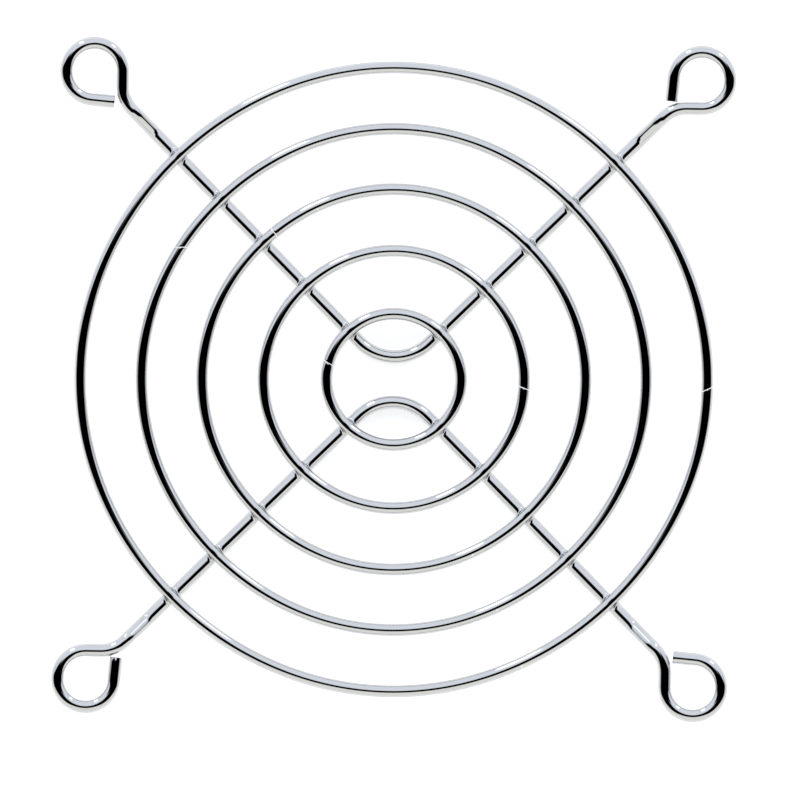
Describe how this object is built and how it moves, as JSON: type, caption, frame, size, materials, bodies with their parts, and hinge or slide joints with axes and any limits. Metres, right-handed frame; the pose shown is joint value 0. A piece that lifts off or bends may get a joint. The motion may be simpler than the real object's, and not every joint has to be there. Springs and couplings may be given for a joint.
{
  "type": "wire fan guard",
  "caption": "Square-pitch wire finger guard for a small axial fan: concentric round wire rings welded on two bent spoke wires with raised screw eyes.",
  "frame": {"origin": "middle of the four screw eyes in plan, at the level of the surface that the guard stands on (the undersides of its spokes)", "axes": "+Z from the spokes through the rings to the eye seats, so towards the fan; X and Y along the edges of the fan's square of screw holes, with the point of the upper spoke's V at +Y"},
  "size_m": [0.0796, 0.0796, 0.0034],
  "materials": {
    "chrome_wire": "bright chrome plate over drawn steel wire"
  },
  "bodies": {
    "root": {"ring_1": "chrome_wire", "ring_2": "chrome_wire", "ring_3": "chrome_wire", "ring_4": "chrome_wire", "ring_5": "chrome_wire", "upper_spoke": "chrome_wire", "lower_spoke": "chrome_wire"}
  },
  "joints": []
}
